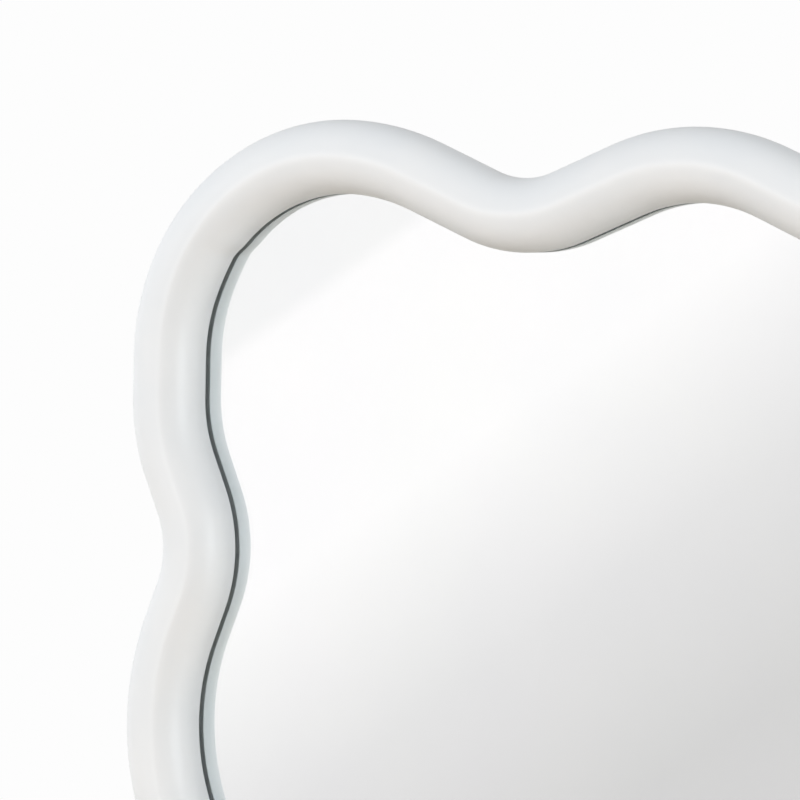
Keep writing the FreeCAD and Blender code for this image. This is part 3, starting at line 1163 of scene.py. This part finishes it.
def makeWorld():
    world = bpy.data.worlds.new("whiteStudio")
    world.use_nodes = True
    tree = world.node_tree
    tree.nodes.clear()
    path = addNode(tree, "ShaderNodeLightPath")
    shiny = addNode(
        tree,
        "ShaderNodeMath",
        {"operation": "MAXIMUM"},
        {0: path.outputs["Is Glossy Ray"], 1: path.outputs["Is Transmission Ray"]},
    )
    seen = addNode(
        tree,
        "ShaderNodeMath",
        {"operation": "MAXIMUM"},
        {0: shiny.outputs["Value"], 1: path.outputs["Is Camera Ray"]},
    )
    place = addNode(tree, "ShaderNodeTexCoord")
    side = addNode(
        tree,
        "ShaderNodeVectorMath",
        {"operation": "DOT_PRODUCT", 1: whiteRoom["brightSide"]},
        {0: place.outputs["Generated"]},
    )
    room = addNode(
        tree,
        "ShaderNodeMapRange",
        {
            "interpolation_type": "SMOOTHSTEP",
            "From Min": -whiteRoom["fallOff"],
            "From Max": whiteRoom["fallOff"],
            "To Min": whiteRoom["dim"],
        },
        {"Value": side.outputs["Value"]},
    )
    white = addNode(
        tree,
        "ShaderNodeMath",
        {"operation": "MAXIMUM"},
        {0: room.outputs["Result"], 1: path.outputs["Is Camera Ray"]},
    )
    strength = addNode(
        tree,
        "ShaderNodeMapRange",
        {"To Min": whiteRoom["ambient"]},
        {"Value": seen.outputs["Value"], "To Max": white.outputs["Value"]},
    )
    background = addNode(
        tree,
        "ShaderNodeBackground",
        {"Color": hexColor(whiteRoom["white"])},
        {"Strength": strength.outputs["Result"]},
    )
    addNode(tree, "ShaderNodeOutputWorld", {}, {"Surface": background.outputs["Background"]})
    bpy.context.scene.world = world


makeFloor()
makeWorld()
bpy.context.scene.view_settings.view_transform = "Standard"


# round soft boxes as (azimuth, elevation, watts, colour, shines), aimed at the upper half of the mirror;
# only the one that shines is seen in the sheen of paint, metal and bare glass, and the silver shows none
lampRig = {"distanceMm": 3000.0, "sizeMm": 1500.0, "aim": (0.0, 0.0, 150.0)}
softBoxes = {
    "keyBox": (-60, 22, 47.2, "#F1F8FF", False),
    "frontBox": (22, 8, 16.3, "#FFF4F3", False),
    "rightBox": (70, 5, 29.3, "#F1F9FF", True),
    "upperBox": (60, 25, 12.8, "#E0F3FF", False),
    "rearBox": (150, 4, 35.0, "#FFFFFF", False),
}


def makeLamp(name, azimuth, elevation, watts, color, shines):
    a, e = math.radians(azimuth), math.radians(elevation)
    away = Vector((math.sin(a) * math.cos(e), -math.cos(a) * math.cos(e), math.sin(e)))
    data = bpy.data.lights.new(name, "AREA")
    data.shape = "DISK"
    data.size = lampRig["sizeMm"] * mm
    data.energy = watts
    data.color = hexColor(color)[:3]
    lamp = bpy.data.objects.new(name, data)
    lamp.location = (Vector(lampRig["aim"]) + away * lampRig["distanceMm"]) * mm
    lamp.rotation_euler = away.to_track_quat("Z", "Y").to_euler()
    lamp.visible_camera = False
    lamp.visible_transmission = False
    lamp.visible_glossy = shines
    bpy.context.scene.collection.objects.link(lamp)


for name, box in softBoxes.items():
    makeLamp(name, *box)


# a glowing card to the front left that stands in for a lit paper panel, seen only in reflections: the thing
# that the mirror shows from the camera's place;
# its painted light runs from a pale corner through a white band, then falls slowly to painted shade in
# grey; places in mm along the slant
glowingPanel = {
    "distanceMm": 2500.0,
    "sizeMm": 1300.0,
    "glow": 1.22,
    "fadeMm": (480.0, 620.0),
    "slant": (0.58, -0.81, 0.0),
    "tones": [
        (-121.0, "#F7F1F0"),
        (-107.0, "#FFF8F7"),
        (64.0, "#FFF8F7"),
        (228.0, "#E6E0DF"),
        (392.0, "#D6D0CF"),
    ],
}


def makePanelGlow():
    material, tree, place = newMaterial("panelGlow")
    across = addNode(
        tree,
        "ShaderNodeVectorMath",
        {"operation": "DOT_PRODUCT", 1: glowingPanel["slant"]},
        {0: place},
    )
    first, last = glowingPanel["tones"][0][0], glowingPanel["tones"][-1][0]
    share = addNode(
        tree,
        "ShaderNodeMapRange",
        {"From Min": first * mm, "From Max": last * mm},
        {"Value": across.outputs["Value"]},
    )
    stops = [((at - first) / (last - first), color) for at, color in glowingPanel["tones"]]
    tone = addNode(tree, "ShaderNodeValToRGB", {"stops": stops}, {"Fac": share.outputs["Result"]})
    # the panel glows by itself: painted light, not a lamp
    glow = addNode(
        tree, "ShaderNodeEmission", {"Strength": glowingPanel["glow"]}, {"Color": tone.outputs["Color"]}
    )
    fadeOut(tree, place, glow.outputs["Emission"], glowingPanel["fadeMm"])
    return material


def makePanel():
    silverY = glassY + glassSheet["thickness"]
    flip = Matrix.Diagonal((1, -1, 1))  # what the mirror does to directions
    aim = Vector(photoView["aim"])
    seen = Vector((aim.x, 2 * silverY - aim.y, aim.z)) - flip @ viewBack * glowingPanel["distanceMm"]
    panel = stageSquare("glowingPanel", glowingPanel["sizeMm"], makePanelGlow())
    panel.matrix_world = Matrix((flip @ viewRight, flip @ viewUp, flip @ viewBack)).transposed().to_4x4()
    panel.location = seen * mm
    panel.visible_camera = panel.visible_diffuse = panel.visible_shadow = False


makePanel()
print("studio set")
